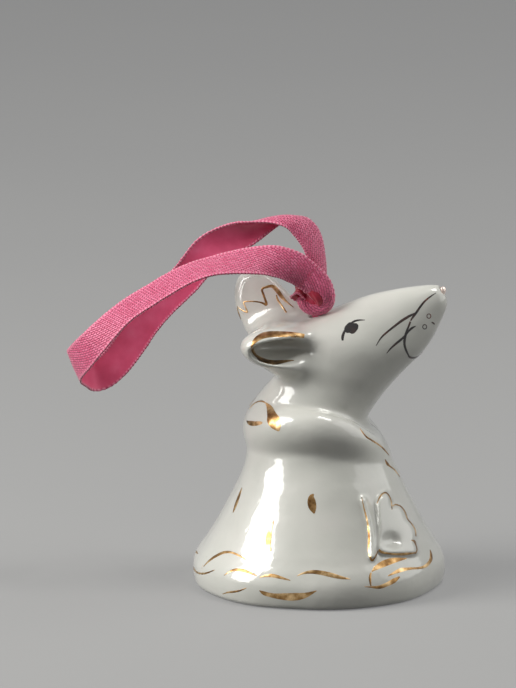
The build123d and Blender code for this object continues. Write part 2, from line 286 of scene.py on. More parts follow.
def band(name, centres, across, widths, curls, body, pleat=0.0):
    """A thin woven band along a line, with its way across, width and curl at every point."""
    along = unit(np.gradient(centres, axis=0))
    ways = unit(across - along * (across * along).sum(1, keepdims=True))
    facing = np.cross(along, ways)
    columns = np.linspace(-1, 1, band_columns)
    places = lengths_along(centres)
    rows, width = len(centres), len(columns)
    rng = np.random.default_rng(len(name))
    ripple = smoothed(rng.normal(0, 1, rows), 4)
    curls = np.maximum(np.radians(curls), 0.02)
    radius = widths / curls
    vertices = []
    for side in (1, -1):
        for share in columns:
            turn = curls / 2 * share
            out = radius * np.sin(turn)
            rise = radius * (np.cos(turn) - (1 + np.cos(curls / 2)) / 2)
            rise = rise + pleat * np.sin(share * 9 + places * 0.5) * (1 - share * share)
            if abs(share) > 0.94:
                out = out + np.sign(share) * (
                    0.06 * np.sin(places * serration_period + share) + 0.05 * ripple
                )
            half_body = ribbon_thickness / 2 * (1.0 if abs(share) < 0.9 else 1.25)
            slant = np.stack((np.sin(turn), np.cos(turn)), 1) * half_body * side
            vertices.append(
                centres
                + ways * (out + slant[:, 0])[:, None]
                + facing * (rise + slant[:, 1])[:, None]
            )
    flat = np.array(vertices).reshape(-1, 3)

    def at(layer, column, row):
        return (layer * width + column) * rows + row

    faces = []
    for column in range(width - 1):
        for row in range(rows - 1):
            faces.append((at(0, column, row), at(0, column + 1, row),
                          at(0, column + 1, row + 1), at(0, column, row + 1))[::-1])
    outer_count = len(faces)
    for column in range(width - 1):
        for row in range(rows - 1):
            faces.append((at(1, column, row), at(1, column, row + 1),
                          at(1, column + 1, row + 1), at(1, column + 1, row))[::-1])
    for column, order in ((0, 1), (width - 1, -1)):
        for row in range(rows - 1):
            face = (at(0, column, row), at(0, column, row + 1),
                    at(1, column, row + 1), at(1, column, row))
            faces.append(face[::-order])
    for row, order in ((0, -1), (rows - 1, 1)):
        for column in range(width - 1):
            face = (at(0, column, row), at(0, column + 1, row),
                    at(1, column + 1, row), at(1, column, row))
            faces.append(face[::order])
    made = new_object(name, flat, faces, body)
    layer = made.data.uv_layers.new(name="weave")
    grid = np.array([
        (places[row], share * widths[row] / 2)
        for _ in (0, 1) for share in columns for row in range(rows)
    ])
    loops = np.empty(len(made.data.loops), np.int32)
    made.data.loops.foreach_get("vertex_index", loops)
    layer.data.foreach_set("uv", grid[loops].ravel().astype(np.float32))
    marks = np.ones(len(made.data.polygons), np.int32)
    marks[:outer_count] = 0
    edge = selvedge_columns * (rows - 1)
    marks[:edge] = marks[outer_count - edge:outer_count] = 2
    marks[outer_count:outer_count + edge] = marks[2 * outer_count - edge:2 * outer_count] = 2
    marks[2 * outer_count:] = 2
    for finish in (weave, satin, selvedge):
        made.data.materials.append(finish)
    made.data.polygons.foreach_set("material_index", marks)
    return made


def settings_along(rows, centres, places):
    """Ways across, widths and curls from the rows of a route, at every point of its line."""
    rows = np.asarray(rows, float)
    marks, last = [], 0
    for place in rows[:, :3] * 1000:
        ahead = np.linalg.norm(centres[last:] - place, axis=1)
        reach = max(2, len(centres) // 6)
        last += int(np.argmin(ahead[:reach]))
        marks.append(places[last])
    marks[0], marks[-1] = 0, places[-1]
    marks = np.maximum.accumulate(np.array(marks) + np.arange(len(marks)) * 1e-4)
    across = unit(rows[:, 3:6] @ np.stack((view_right, view_up, view_back)))
    table = smoothed(rows_at(places, marks, np.concatenate((across, rows[:, 6:8]), 1)), 30)
    return unit(table[:, :3]), table[:, 3] * ribbon_width, table[:, 4]


def make_ribbon():
    """The hanging loop, as one band that replaces the plain solid."""
    centres, places = evenly(spline_points(ribbon_route) * 1000, ribbon_step)
    across, widths, curls = settings_along(ribbon_route, centres, places)
    hung = centres.copy()
    for place, shift, reach in ribbon_sags:
        middle = places[np.linalg.norm(centres - np.array(place), axis=1).argmin()]
        hung += np.exp(-(((places - middle) / reach) ** 2))[:, None] * np.array(shift)
    ribbon = band("ribbon", hung, across, widths, curls, "hanging_loop")
    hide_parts("ribbon_loop")


def short_band(name, route, pleat):
    """A short piece of the same band along a route of its own, for the knot."""
    rows = np.asarray(route, float)
    line = rounded_line(rows[:, :3] * 1000, 10)
    centres, places = evenly(line, knot_step)
    across, widths, curls = settings_along(route, centres, places)
    return band(name, centres, across, widths, curls, "bell", pleat)


def wrapped_quads(rows, columns, first=0, closed=False):
    """Faces of a grid whose columns, and if asked whose rows too, join up into a ring."""
    faces = []
    for row in range(rows):
        ahead = (row + 1) % rows if closed else row + 1
        for column in range(columns):
            after = (column + 1) % columns
            faces.append((first + row * columns + column, first + ahead * columns + column,
                          first + ahead * columns + after, first + row * columns + after))
    return faces


def make_knot():
    """The knot: a crumpled core, the wrap round it, a tuck in the middle and the bight behind,
    with painted shade on the core, tuck and bight from a darker satin.
    """
    rng = np.random.default_rng(11)
    ways = unit(rng.normal(0, 1, (knot_folds, 3)))
    shifts = rng.uniform(0, 6, knot_folds)
    across, down = ((72, 44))
    points = []
    for row in range(down + 1):
        tilt = pi * row / down
        for column in range(across):
            turn = 2 * pi * column / across
            way = np.array((sin(tilt) * cos(turn), sin(tilt) * sin(turn), cos(tilt)))
            size = 1 + 0.22 * np.sin(ways @ way * 5 + shifts).mean()
            points.append(np.array(knot_middle) + way * np.array(knot_radii) * size)
    knot = new_object("knot_core", points, wrapped_quads(down, across), "bell")
    # the core is in the darker satin, painted shade inside the knot
    knot.data.materials.append(deep)
    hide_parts("ribbon_knot")
    short_band("knot_wrap", wrap_route, 0.10)
    for name, route in (("knot_bight", bight_route), ("knot_tuck", tuck_route)):
        folded = short_band(name, route, 0.12)
        # both faces of the bight and the tuck take the darker satin, painted shade; their edges
        # keep the selvedge
        for place in range(2):
            folded.data.materials[place] = deep


def make_tail():
    """The doubled tail, a twisted cord of ribbon through the crown with a small eye at its end."""
    box_low, box_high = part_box("ribbon_tail")
    low, high = np.array(box_low) * 1000, np.array(box_high) * 1000
    middle = (low + high) / 2
    radius = (high[0] - low[0]) / 2
    eye = (high[1] - low[1]) / 2 - radius / 2
    rows, columns = 60, 28
    points = []
    for row in range(rows + 1):
        height = high[2] - (high[2] - low[2] - 1.9 * eye) * row / rows
        for column in range(columns):
            turn = 2 * pi * column / columns
            lobes = radius * (0.86 + 0.12 * np.cos(2 * (turn + row * 0.16)))
            points.append((middle[0] + lobes * cos(turn), middle[1] + lobes * sin(turn), height))
    faces = wrapped_quads(rows, columns)
    faces.append(list(range(columns)))
    faces.append([rows * columns + column for column in range(columns)][::-1])
    first = len(points)
    round_, thick = 48, 16
    for row in range(round_):
        turn = 2 * pi * row / round_
        for column in range(thick):
            spin = 2 * pi * column / thick
            body = radius * 0.5 * (0.9 + 0.1 * np.cos(2 * spin + 3 * turn))
            reach = eye + body * cos(spin)
            points.append((
                middle[0] + body * sin(spin),
                middle[1] + reach * cos(turn),
                low[2] + eye + radius * 0.5 + reach * sin(turn),
            ))
    faces += wrapped_quads(round_, thick, first, closed=True)
    tail = new_object("tail_cord", points, faces, "bell")
    tail.data.materials.append(satin)
    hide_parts("ribbon_tail")


# Porcelain, as a field that is below zero inside

skirt_outline = [
    (-1.0, 26.6), (0.0, 26.9), (1.2, 27.3), (3.2, 27.5), (5.4, 27.2), (7.4, 26.2), (9.2, 24.9),
    (10.6, 24.0), (12.6, 22.8), (15.0, 21.5), (17.3, 20.3), (20.0, 18.9), (23.6, 17.2),
    (26.2, 15.9), (28.8, 14.7), (31.0, 13.7), (34.0, 12.6),
]
hollow_outline = [
    (-1.0, 24.6), (0.0, 24.6), (3.0, 24.5), (6.0, 23.8), (8.7, 22.8), (12.0, 21.0), (17.3, 18.1),
    (23.0, 14.9), (28.0, 12.3), (31.0, 11.2), (33.0, 10.4), (36.0, 9.0), (40.0, 8.2), (44.0, 7.0),
    (48.0, 5.6), (52.0, 4.7), (54.5, 4.0), (56.5, 3.0),
]

# Sections of torso, neck and head: back, front and half width, as in the solid
body_sections = [
    (-14.0, 24.4, 14.5, 24.4, 13.2),
    (-15.0, 28.9, 14.6, 28.9, 12.5),
    (-15.8, 33.2, 12.2, 32.2, 12.6),
    (-15.4, 36.6, 10.9, 35.4, 12.1),
    (-13.5, 40.4, 11.0, 37.3, 11.1),
    (-8.5, 46.6, 13.8, 41.5, 10.0),
    (-7.5, 51.0, 16.3, 44.5, 10.0),
    (-4.5, 56.7, 19.5, 47.9, 9.4),
    (2.1, 59.4, 22.3, 50.6, 7.9),
    (9.4, 62.3, 24.1, 53.0, 6.1),
    (16.2, 63.9, 25.5, 55.8, 4.4),
    (22.5, 64.9, 26.4, 58.8, 2.7),
    (24.9, 65.1, 26.3, 62.6, 1.2),
]

# Arms: angle from the front in degrees, then radius, height, depth and breadth
arm_sections = [
    (180, 12.7, 34.0, 3.2, 4.2),
    (150, 12.6, 34.8, 3.3, 4.3),
    (120, 12.5, 35.8, 3.4, 4.4),
    (90, 12.4, 35.8, 3.4, 4.3),
    (62, 12.2, 34.0, 3.3, 4.0),
    (38, 12.0, 31.0, 3.0, 3.5),
    (20, 12.0, 28.8, 2.7, 3.0),
    (8, 12.2, 27.8, 2.6, 2.8),
]

far_ear_outline = [
    (247.5, 270.2), (253, 268.6), (261, 269.6), (269, 273.6), (279, 282.5), (290, 293.5),
    (303, 308), (312, 322), (300, 342), (270, 345), (249, 334), (241.5, 320.5), (236.2, 309),
    (234.4, 297), (235.2, 285), (239.5, 275),
]
far_ear_place = 6.2
far_ear_lean = (0.28, 0.34)  # forward with X and back with height
far_ear_slant = 0.91
far_ear_half = 1.8
near_ear_middle = (-8.9, -8.4, 52.9)
near_ear_yaw = radians(17)
relief_outline = [
    (377, 503), (380, 496), (385.5, 492.5), (390, 497), (392, 506), (398, 505), (403, 509),
    (407, 518), (413, 525), (416, 534), (415, 541), (417, 548), (415, 554), (398, 554.5),
    (379, 551), (378, 530),
]
fold_line = [(364, 500), (368, 512), (371.6, 526), (372.6, 540), (372.8, 556)]
relief_middle, relief_reach = (390, 525), (40, 45)  # pixels, round both


def smooth_least(first, second, softness):
    """The lesser of two fields, rounded over where they are close."""
    share = np.clip(0.5 + 0.5 * (second - first) / softness, 0, 1)
    return second * (1 - share) + first * share - softness * share * (1 - share)


def smooth_most(first, second, softness):
    """The greater of two fields, rounded over where they are close."""
    return -smooth_least(-first, -second, softness)


def turned_axes(x, y, angle):
    """Flat coordinates along axes that are turned by an angle."""
    return x * cos(angle) + y * sin(angle), y * cos(angle) - x * sin(angle)


def ellipsoid(points, centre, radii, tilt=0.0):
    """Distance from an ellipsoid whose long axis is tilted in the upright plane of the mouse."""
    away = points - np.array(centre)
    if tilt:
        x, z = turned_axes(away[:, 0], away[:, 2], radians(tilt))
        away = np.stack((x, away[:, 1], z), 1)
    radii = np.array(radii, float)
    near = np.sqrt(((away / radii) ** 2).sum(1))
    slope = np.sqrt(((away / radii**2) ** 2).sum(1))
    return near * (near - 1) / np.maximum(slope, 1e-9)


def turned_form(points, table, shift=((0,), (0,))):
    """Distance from a form turned about the upright axis."""
    heights, radii, slants = table
    middle = np.interp(points[:, 2], *shift)
    away = np.hypot(points[:, 0] - middle, points[:, 1])
    radius = np.interp(points[:, 2], heights, radii)
    return (away - radius) * np.interp(points[:, 2], heights, slants)


def outline_table(outline):
    """Heights, radii and slants of a turned form, close together."""
    line = rounded_line(outline, 12)
    slopes = np.gradient(line[:, 1], line[:, 0])
    return line[:, 0], line[:, 1], 1 / np.sqrt(1 + slopes**2)


skirt_table = outline_table(skirt_outline)
hollow_table = outline_table(hollow_outline)
skirt_shift = ([0, 5, 10, 16, 24, 29], [0, 0.0, 0.35, 0.4, 0.45, 0.1])


def chain_of_sections(sections, steps):
    """Centres, ways across, lengths and widths of flat sections along a bent form."""
    line = smoothed(rounded_line(sections, steps), 3)
    back, front = line[:, 0:2], line[:, 2:4]
    centres = (back + front) / 2
    across = unit(front - back)
    return centres, across, np.linalg.norm(front - back, axis=1) / 2, line[:, 4]


body_chain = chain_of_sections(body_sections, 20)
arm_line = rounded_line(arm_sections, 14)


def disc_union(least, across, deep, along, radii, thick, is_end):
    """Lowers a field by a flat ellipsoid, only for points that are near its plane."""
    near = np.ones(len(along), bool) if is_end else np.abs(along) < thick + 1.2
    u, v, w = across[near], deep[near], along[near]
    size = np.sqrt((u / radii[0]) ** 2 + (v / radii[1]) ** 2 + (w / thick) ** 2)
    slope = np.sqrt(
        (u / radii[0] ** 2) ** 2 + (v / radii[1] ** 2) ** 2 + (w / thick**2) ** 2
    )
    least[near] = np.minimum(least[near], size * (size - 1) / np.maximum(slope, 1e-9))


def body_form(points):
    """Torso, neck and head, as the union of closely spaced flat ellipsoids."""
    least = np.full(len(points), 1e3)
    last = len(body_chain[0]) - 1
    for index, (centre, across, long_radius, wide_radius) in enumerate(zip(*body_chain)):
        x = points[:, 0] - centre[0]
        z = points[:, 2] - centre[1]
        disc_union(
            least, x * across[0] + z * across[1], points[:, 1], -x * across[1] + z * across[0],
            (long_radius, wide_radius), min(3.0, long_radius * 0.8, wide_radius * 1.2),
            index in (0, last),
        )
    return least


def arm_form(points):
    """Both arms, from the back round the sides to the hands, as ellipsoids along an arc."""
    least = np.full(len(points), 1e3)
    depths = -np.abs(points[:, 1])
    for index, (angle, radius, height, depth, breadth) in enumerate(arm_line):
        turn = radians(angle)
        outward = np.array((cos(turn), -sin(turn)))
        x = points[:, 0] - outward[0] * radius
        y = depths - outward[1] * radius
        disc_union(
            least, x * outward[0] + y * outward[1], points[:, 2] - height,
            -x * outward[1] + y * outward[0], (depth, breadth), 3.5,
            index in (0, len(arm_line) - 1),
        )
    return least


def line_distance(flat, line):
    """Distance of flat points from a line."""
    nearest = np.full(len(flat), 1e9)
    for first, last in zip(line, line[1:]):
        edge = last - first
        away = flat - first
        share = np.clip((away @ edge) / (edge @ edge), 0, 1)
        nearest = np.minimum(nearest, ((away - share[:, None] * edge) ** 2).sum(1))
    return np.sqrt(nearest)


def outline_distance(flat, line):
    """Distance of flat points from a closed line, below zero inside it."""
    inside = np.zeros(len(flat), bool)
    for first, last in zip(line, line[1:]):
        above = (first[1] > flat[:, 1]) != (last[1] > flat[:, 1])
        slope = (last[0] - first[0]) / (last[1] - first[1] + 1e-12)
        inside ^= above & (flat[:, 0] < first[0] + slope * (flat[:, 1] - first[1]))
    return line_distance(flat, line) * np.where(inside, -1, 1)


def ease(share):
    """A smooth step from 0 to 1."""
    share = np.clip(share, 0, 1)
    return share * share * (3 - 2 * share)


def far_ear_form(points):
    """The upright ear, a rounded slab with its outline from the photograph and a shallow cup."""
    in_picture = closed_line(far_ear_outline, 3)
    middle = (
        far_ear_place - (points[:, 0] + 11) * far_ear_lean[0]
        + (points[:, 2] - 57) * far_ear_lean[1]
    )
    flat = np.stack((
        points[:, 0],
        points[:, 2] * cos(view_rise) + middle * sin(view_rise),
    ), 1)
    outline = np.stack((
        (in_picture[:, 0] - axis_pixel[0]) * pixel,
        (axis_pixel[1] - in_picture[:, 1]) * pixel,
    ), 1)
    side = outline_distance(flat, outline)
    swell = 0.4 * ease(-side / 5)
    through = np.abs(points[:, 1] - middle) * far_ear_slant - swell
    outward = side + far_ear_half
    slab = np.hypot(np.maximum(outward, 0), np.maximum(through, 0))
    slab = slab + np.minimum(np.maximum(outward, through), 0) - far_ear_half
    behind = np.stack((points[:, 0], points[:, 1] - middle, points[:, 2]), 1)
    cup = ellipsoid(behind, (-12.0, 4.1, 60.5), (4.6, 3.2, 4.6), 20)
    return smooth_most(slab, -cup, 1.2)


def near_ear_form(points):
    """The ear on the near side, and the scoop that opens towards the camera and the face."""
    away = points - np.array(near_ear_middle)
    turned = np.stack((*turned_axes(away[:, 0], away[:, 1], near_ear_yaw), away[:, 2]), 1)
    outer = ellipsoid(turned, (0, 0, 0), (8.1, 5.7, 4.3), -8)
    root = ellipsoid(points, (-7.6, -5.6, 50.0), (5.0, 4.6, 3.3), -20)
    outer = smooth_least(outer, root, 2.0)
    scoop = ellipsoid(turned, (0.4, -5.0, 0.0), (7.6, 8.0, 2.8), -2)
    return outer, scoop


nose_low, nose_high = (np.array(corner) * 1000 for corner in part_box("nose_bead"))
nose_middle = (nose_low + nose_high) / 2
nose_reach = (nose_high - nose_low) / 2 + 0.03


def relief(points):
    """How far the glaze stands out for the fold and the lobed ornament on the skirt."""
    flat = to_pixels(points)
    raised = np.zeros(len(points))
    inside = (points[:, 1] < -6) & (np.abs(flat - relief_middle) < relief_reach).all(1)
    if not inside.any():
        return raised
    spots = flat[inside]
    side = outline_distance(spots, closed_line(relief_outline, 4))
    lobe = ease(0.5 - side / 7.0) * 1.15
    hollow = np.exp(-((spots[:, 0] - 391) / 9) ** 2 - ((spots[:, 1] - 541) / 7.5) ** 2) * 1.2
    fold = np.exp(-(line_distance(spots, np.array(fold_line)) / 3.4) ** 2)
    raised[inside] = np.maximum(lobe - hollow, 0) + fold
    return raised


def porcelain_field(points):
    """The whole casting with its hollow."""
    skirt = turned_form(points, skirt_table, skirt_shift)
    angle = np.arctan2(points[:, 1], points[:, 0])
    low = ease((11.0 - points[:, 2]) / 6.0)
    skirt = skirt - low * (0.22 * np.sin(angle * 5 + 0.6) + 0.12 * np.sin(angle * 9 + 2.1) - 0.2)
    skirt = skirt - relief(points)
    skirt = smooth_most(skirt, points[:, 2] - 33.0, 2.0)
    body = body_form(points)
    body = smooth_most(body, 22.0 - points[:, 2], 1.0)
    form = smooth_least(skirt, body, 2.6)
    form = smooth_least(form, arm_form(points), 1.8)
    outer, scoop = near_ear_form(points)
    between = ellipsoid(points, (-8.0, -1.0, 53.6), (6.4, 8.5, 4.0))
    form = smooth_least(form, between, 3.0)
    form = smooth_least(form, far_ear_form(points), 4.2)
    form = smooth_least(form, outer, 3.4)
    form = smooth_most(form, -scoop, 0.9 + 2.2 * ease((points[:, 0] + 9.5) / 7.0))
    form = smooth_most(form, -points[:, 2], 0.9)
    hollow = turned_form(points, hollow_table)
    hollow = smooth_most(hollow, points[:, 2] - 55.5, 2.0)
    form = smooth_most(form, -hollow, 0.9)
    form = np.maximum(form, -ellipsoid(points, nose_middle, nose_reach))
    crown = np.hypot(points[:, 0] + 0.3, points[:, 1]) - 1.6
    crown = np.maximum(crown, 50 - points[:, 2])
    return smooth_most(form, -crown, 0.4)


def surface_nets(values, low, step):
    """Quads between the lattice cells that a field's surface passes through."""
    inside = values < 0
    corners = np.zeros(tuple(n - 1 for n in inside.shape), np.int8)
    for i in (0, 1):
        for j in (0, 1):
            for k in (0, 1):
                corners += inside[
                    i:inside.shape[0] - 1 + i,
                    j:inside.shape[1] - 1 + j,
                    k:inside.shape[2] - 1 + k,
                ]
    mixed = (corners > 0) & (corners < 8)
    index = np.full(mixed.shape, -1, np.int64)
    index[mixed] = np.arange(mixed.sum())
    points = low + (np.argwhere(mixed) + 1.0) * step
    faces = []
    for axis in range(3):
        second, third = (axis + 1) % 3, (axis + 2) % 3
        lower = np.take(inside, range(inside.shape[axis] - 1), axis)
        upper = np.take(inside, range(1, inside.shape[axis]), axis)
        at = np.argwhere(lower != upper)
        quad = []
        for back_second, back_third in ((1, 1), (0, 1), (0, 0), (1, 0)):
            cell = at.copy()
            cell[:, second] -= back_second
            cell[:, third] -= back_third
            quad.append(index[tuple(cell.T)])
        quad = np.stack(quad, 1)
        flip = ~lower[tuple(at.T)]
        quad[flip] = quad[flip][:, ::-1]
        faces.append(quad)
    return points, np.concatenate(faces)


def fine_values(field, low, counts, step, block):
    """The field on a fine lattice, worked out only in blocks that are near the surface."""
    blocks = [int(np.ceil(n / block)) for n in counts]
    grid = np.indices(blocks).reshape(3, -1).T
    middles = low + (grid * block + block / 2) * step
    rough = field(middles).reshape(blocks)
    values = rough.repeat(block, 0).repeat(block, 1).repeat(block, 2)
    near = np.argwhere(np.abs(rough) < block * step * 1.5)
    offsets = np.indices([block] * 3).reshape(3, -1).T
    for part in np.array_split(near, max(1, len(near) // 4000)):
        cells = (part[:, None, :] * block + offsets[None]).reshape(-1, 3)
        values[tuple(cells.T)] = field(low + (cells + 0.5) * step)
    return values


def settle(field, points, faces, step):
    """Evens the points out and lays them on the field's surface."""
    starts = faces[:, [0, 1, 2, 3, 1, 2, 3, 0]].ravel()
    ends = faces[:, [1, 2, 3, 0, 0, 1, 2, 3]].ravel()
    count = np.bincount(starts, minlength=len(points))
    for turn in range(4):
        sums = [np.bincount(starts, points[ends, k], len(points)) for k in range(3)]
        points = np.stack(sums, 1) / count[:, None]
        for _ in range(2 if turn < 3 else 3):
            value = field(points)
            small = 0.05
            slope = np.stack([
                (field(points + np.eye(3)[k] * small) - value) / small for k in range(3)
            ], 1)
            size = np.maximum((slope**2).sum(1), 0.2)
            move = -(value / size)[:, None] * slope
            far = np.linalg.norm(move, axis=1, keepdims=True)
            points = points + move * np.minimum(1, step / np.maximum(far, 1e-9))
    return points


def make_porcelain():
    """The sculpted casting, which stands for the plain one."""
    step = 0.42
    low = np.array((-29.5, -29.5, -1.0))
    high = np.array((29.5, 29.5, 69.5))
    counts = np.ceil((high - low) / step).astype(int)
    values = fine_values(porcelain_field, low, counts, step, 4)
    points, faces = surface_nets(values, low, step)
    points = settle(porcelain_field, points, faces, step)
    points[:, 2] = np.maximum(points[:, 2], 0)
    made = new_object("porcelain_casting", points, faces, "bell")
    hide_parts("bell_body")
    return made


# Marks on the glaze: rows of picture x, picture y and width in pixels

gold_marks = {
    "hand_upper": [
        (360, 428.5, 0.5), (362.8, 432.6, 1.2), (366.4, 436.8, 1.5), (371.2, 440, 1.6),
        (377.2, 443.7, 1.6), (382, 447.3, 1.5), (386.2, 451.8, 1.2), (389.2, 455.4, 0.5),
    ],
    "hand_lower": [
        (385, 459.3, 0.6), (387.4, 463.8, 2.6), (389.8, 466.2, 1.6), (394, 469.2, 1.3),
        (397, 472.8, 1.0), (400, 477, 0.5),
    ],
    "shoulder_arc": [
        (249.5, 409, 0.5), (252, 405.5, 0.9), (255, 403, 1.1), (259, 401.3, 1.3),
        (263, 401.5, 1.7), (266.5, 403.5, 1.2),
    ],
    "shoulder_flame": [
        (266, 403, 1.5), (269.5, 408, 6), (271.5, 414, 9), (273.5, 420, 13), (276.5, 426, 10),
        (279, 431, 2),
    ],
    "shoulder_dash": [
        (246.8, 421, 1.2), (250, 423, 4.6), (255, 423.6, 4.6), (260, 423, 3.6),
        (262.5, 422.6, 1.4),
    ],
    "skirt_lens": [
        (313.6, 494, 1.2), (311.6, 497, 5.5), (311.6, 502, 8.4), (312.8, 508, 7.4),
        (314.2, 513.5, 1.5),
    ],
    "skirt_leaf_left": [
        (242, 487.5, 0.5), (240, 493, 1.7), (237.6, 500, 2.6), (235.4, 506, 2.4),
        (233, 512.5, 0.6),
    ],
    "skirt_leaf_low": [
        (273.6, 520.5, 0.7), (271.4, 528, 3.0), (269, 536, 5.4), (268.6, 544, 5.2),
        (271, 551, 1.2),
    ],
    "hem_1": [
        (190.6, 560, 0.6), (192.6, 566, 1.2), (197, 572.4, 1.6), (205, 573.4, 1.9),
        (214.6, 570, 0.7),
    ],
    "hem_2": [
        (203.5, 566.5, 0.7), (209, 561, 1.7), (215, 556.6, 2.4), (224, 552.4, 2.6),
        (232, 552.6, 2.2), (240, 556, 1.7), (247, 560.5, 0.6),
    ],
    "hem_3": [
        (224, 575.5, 0.6), (229, 572, 1.5), (235, 569.8, 2.6), (243, 570.4, 3.0),
        (250, 572.8, 2.2), (257, 575.8, 0.7),
    ],
    "hem_4": [
        (259.5, 577.5, 0.6), (265, 576, 2.4), (272, 575.6, 3.6), (280, 577.4, 3.0),
        (290.5, 580.5, 0.7),
    ],
    "hem_5": [
        (297, 576, 0.6), (303, 573.4, 2.0), (311, 572, 3.6), (320, 572.6, 4.4), (331, 575, 4.6),
        (341, 577.6, 3.2), (350.5, 579.2, 0.6),
    ],
    "hem_6": [
        (222.6, 594, 0.6), (228, 592.4, 1.6), (234, 591.8, 2.0), (240, 590.6, 1.6),
        (246.5, 588, 0.6),
    ],
    "hem_7": [
        (259.4, 590.5, 0.8), (264, 593.2, 3.8), (272, 595.4, 4.4), (283, 596.6, 6.6),
        (294, 596.8, 7.6), (305, 595.4, 5.4), (316.5, 590.8, 0.8),
    ],
    "hem_8": [
        (371.6, 571.6, 0.8), (376, 568, 4.2), (384, 563.6, 6.6), (394, 560.4, 5.4),
        (406.5, 558.4, 1.0),
    ],
    "hem_9": [(371, 572.5, 1.6), (370, 577, 2.4), (370.2, 582, 2.0), (371, 586, 1.2)],
    "hem_10": [
        (364.6, 586.6, 0.5), (371, 587, 1.6), (379, 587.2, 3.4), (387, 584.4, 4.0),
        (394, 580.6, 4.6), (399.6, 576.6, 1.4),
    ],
    "hem_11": [
        (388, 576, 0.8), (394, 573, 2.6), (401, 570, 4.0), (410, 568.6, 2.4), (419, 568, 2.2),
        (426, 565.8, 3.2), (430.6, 560, 3.2), (431, 554, 2.2), (430, 549.6, 0.7),
    ],
    "hem_12": [(194.4, 549.6, 0.6), (196, 551.8, 2.4), (198, 553.8, 0.6)],
    "fold_edge": [
        (361.6, 497, 0.6), (364, 508, 1.3), (366.6, 518, 1.6), (368.4, 528, 1.9), (369, 538, 2.1),
        (368.8, 548, 2.0), (370, 556.6, 2.0), (372, 560.4, 2.2), (374.6, 558, 1.5),
        (378.4, 550.4, 0.7),
    ],
    "lobe_edge": [
        (376.8, 504, 0.6), (379, 498.6, 1.3), (381.6, 494.6, 1.6), (385.6, 492.6, 1.6),
        (389.2, 496, 1.3), (391.4, 502, 1.3), (392, 509.6, 0.8),
    ],
    "lobe_edge_2": [
        (392.4, 506, 0.9), (396, 504.6, 1.4), (401, 506.6, 1.4), (405, 512, 1.3),
        (407.6, 519, 1.3), (412, 524.2, 1.2), (415.2, 530, 1.3), (416, 536.4, 1.2),
    ],
    "lobe_edge_3": [
        (411, 540, 0.5), (414.4, 541.4, 2.2), (416.2, 546, 1.2), (417, 550, 1.3),
        (415.4, 553.8, 1.2),
    ],
    "lobe_base": [
        (379, 549.4, 1.4), (381.4, 552, 2.6), (388, 553.4, 2.0), (396, 554.2, 2.2),
        (405, 554, 2.6), (415.6, 552.8, 1.2),
    ],
    "far_ear_tip": [(245.4, 272.2, 1.0), (248, 272, 3.6), (249.6, 270.4, 1.6)],
    "far_ear_zigzag": [
        (237, 306.6, 0.8), (241.6, 310, 1.0), (247.2, 312.2, 1.8), (245.4, 307, 1.2),
        (243.8, 302.4, 1.2), (249, 301.4, 1.2), (256, 301.6, 1.3), (262, 302.8, 1.8),
        (266.4, 304.6, 2.6), (265, 299, 2.2), (263.2, 294, 2.2), (262, 289.4, 2.0),
        (265.4, 287.4, 2.4), (272, 286.2, 3.2), (276.6, 290, 4.2), (282, 297, 3.6),
        (287.6, 302.6, 1.6), (293.6, 307.4, 0.8),
    ],
    "far_ear_stroke": [
        (276.4, 295, 1.2), (277.6, 299.6, 1.8), (281.4, 305, 1.6), (286.6, 312.6, 1.6),
    ],
    "far_ear_rim": [(237.2, 308, 0.8), (239, 314, 1.0), (241.2, 320, 0.6)],
    "near_ear_upper": [
        (252.2, 345.4, 1.6), (254.4, 341.6, 4.0), (258.4, 338, 5.4), (264, 335.4, 6.2),
        (272, 334.2, 6.2), (284, 334.2, 5.6), (296, 335, 5.2), (304.4, 336, 4.2),
    ],
    "near_ear_tip": [(253, 343, 1.0), (252, 347, 2.6), (253.4, 352, 3.0), (257, 357, 2.0)],
    "near_ear_lower": [
        (256, 355, 1.6), (260, 358.8, 4.4), (266, 361.6, 5.2), (274, 362.6, 4.8),
        (283, 361.6, 3.2), (290, 360.6, 1.6), (294, 360.4, 0.6),
    ],
}
dark_marks = {
    "eye": [
        (345.4, 331.6, 4.0), (348, 329.4, 9.0), (351.4, 328, 12.0), (355, 326.4, 8.6),
        (357.6, 324.4, 3.0),
    ],
    "eye_line": [
        (342.6, 340.6, 1.8), (342.6, 337, 2.8), (343.8, 333, 2.6), (346.4, 328.4, 2.2),
        (349.6, 324.6, 1.8),
    ],
    "eye_lash": [(349.4, 324.8, 1.4), (353.6, 321.6, 2.0), (358.8, 320.2, 1.8), (365, 320, 0.6)],
    "muzzle_line": [
        (435.8, 293, 0.7), (430.6, 296.4, 1.5), (425, 301, 1.9), (420.4, 306.6, 2.2),
        (416, 313, 2.4), (412.6, 317.6, 2.0), (410.6, 320.8, 1.2),
    ],
    "whisker_long": [
        (415, 313.2, 1.4), (408.4, 316.6, 2.6), (402, 320.6, 2.6), (395, 325.8, 2.2),
        (388.4, 331, 2.0), (381.4, 337.4, 1.6), (376, 345.7, 0.6),
    ],
    "whisker_stub": [(406.4, 334.6, 1.0), (409, 330.8, 2.0), (412, 328, 2.2), (415.6, 326.2, 0.8)],
    "muzzle_low": [
        (410.4, 321.6, 1.8), (408, 328, 2.0), (405.4, 335.6, 2.6), (404.4, 343.4, 2.4),
        (406, 350, 2.2), (409.8, 358, 1.2),
    ],
    "whisker_low": [
        (405.6, 335, 1.6), (401.2, 339.4, 2.4), (395.6, 344, 2.2), (390.6, 348.6, 1.6),
        (386.6, 353.4, 0.6),
    ],
    "smile": [
        (408, 355.6, 1.4), (411.4, 357.8, 2.2), (416.6, 357.4, 1.8), (420.6, 355.4, 1.4),
        (424, 353, 0.6),
    ],
    "dot_dash": [(431.6, 322, 0.9), (433.5, 323.2, 1.5), (434.6, 324.4, 0.7)],
}
